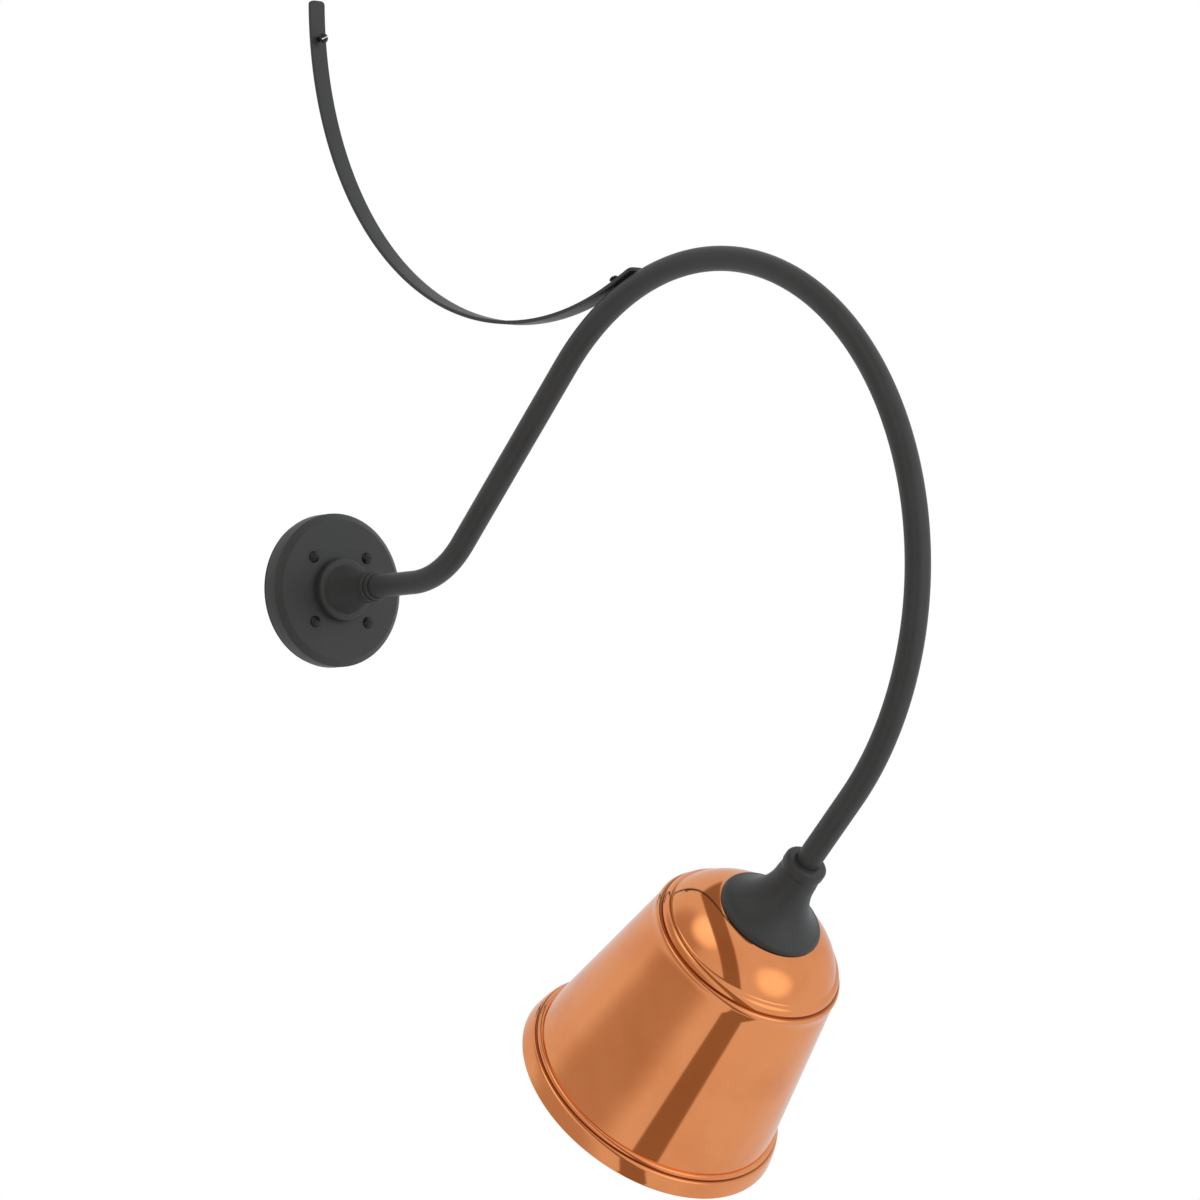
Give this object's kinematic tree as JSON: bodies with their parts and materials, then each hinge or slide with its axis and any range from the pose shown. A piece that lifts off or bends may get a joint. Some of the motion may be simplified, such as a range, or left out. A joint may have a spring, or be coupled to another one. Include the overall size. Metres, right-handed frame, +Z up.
{
  "type": "gooseneck wall sconce",
  "caption": "Wall lamp with a bent tube arm on a round bevelled wall plate, a bell-shaped copper shade on a flared fitter and a curved flat-bar brace up to the wall.",
  "frame": {"origin": "on the wall plane, on the axis of the round wall plate", "axes": "+X along the wall to the right seen from the room, +Y into the wall, +Z up; the arm lies in the YZ plane and reaches out along -Y"},
  "size_m": [0.215, 0.7552, 0.9762],
  "materials": {
    "wall_gasket": "matte",
    "wall_plate": "satin black powder coat",
    "plate_screws": "black oxide",
    "hub": "satin black powder coat",
    "hub_lock_nut": "zinc plated",
    "hub_set_screw": "black oxide",
    "ground_screw": "green dyed",
    "ground_wire": "insulated wire",
    "arm_tube": "satin black powder coat",
    "wall_end_bushing": "nylon",
    "strap_insert": "zinc plated",
    "strap_arm_screw": "black oxide",
    "fitter": "satin black powder coat",
    "fitter_set_screw": "black oxide",
    "shade_gasket": "matte",
    "shade": "polished copper",
    "lamp_nipple": "zinc plated thread",
    "shade_washer": "zinc plated",
    "shade_nut": "plain",
    "lamp_holder": "glazed porcelain",
    "lamp_holder_shell": "plain",
    "centre_contact": "plain",
    "terminal_screws": "plain",
    "line_wire": "insulated wire",
    "neutral_wire": "insulated wire",
    "wire_connectors": "moulded",
    "strap": "satin black powder coat",
    "strap_wall_screw": "black oxide",
    "bulb_tip": "soldered",
    "bulb_insulator": "glass insulator",
    "bulb_base": "plain",
    "bulb_glass": "clear",
    "bulb_stem": "clear",
    "bulb_filaments": "phosphor"
  },
  "bodies": {
    "wall_mount": {"wall_gasket": "wall_gasket", "wall_plate": "wall_plate", "plate_screws": "plate_screws", "hub": "hub", "hub_lock_nut": "hub_lock_nut", "hub_set_screw": "hub_set_screw", "ground_screw": "ground_screw", "ground_wire": "ground_wire"},
    "arm": {"arm_tube": "arm_tube", "wall_end_bushing": "wall_end_bushing", "strap_insert": "strap_insert", "strap_arm_screw": "strap_arm_screw", "fitter": "fitter", "fitter_set_screw": "fitter_set_screw", "shade_gasket": "shade_gasket", "shade": "shade", "lamp_nipple": "lamp_nipple", "shade_washer": "shade_washer", "shade_nut": "shade_nut", "lamp_holder": "lamp_holder", "lamp_holder_shell": "lamp_holder_shell", "centre_contact": "centre_contact", "terminal_screws": "terminal_screws", "line_wire": "line_wire", "neutral_wire": "neutral_wire", "wire_connectors": "wire_connectors"},
    "brace": {"strap": "strap", "strap_wall_screw": "strap_wall_screw"},
    "bulb": {"bulb_tip": "bulb_tip", "bulb_insulator": "bulb_insulator", "bulb_base": "bulb_base", "bulb_glass": "bulb_glass", "bulb_stem": "bulb_stem", "bulb_filaments": "bulb_filaments"}
  },
  "joints": [
    {"name": "arm_swivel", "type": "hinge", "parent": "wall_mount", "child": "arm", "pos_m": [0, -0.045, 0], "axis": [0, 1, 0], "range_deg": [-10, 10]},
    {"name": "brace_swing", "type": "hinge", "parent": "arm", "child": "brace", "pos_m": [0, -0.38734, 0.21246], "axis": [0, 0.3405, 0.9402], "range_deg": [-25, 25]},
    {"name": "bulb_unscrew", "type": "hinge", "parent": "arm", "child": "bulb", "pos_m": [0, -0.52075, -0.29972], "axis": [0, 0.742, -0.6704], "range_deg": [0, 2160]}
  ]
}
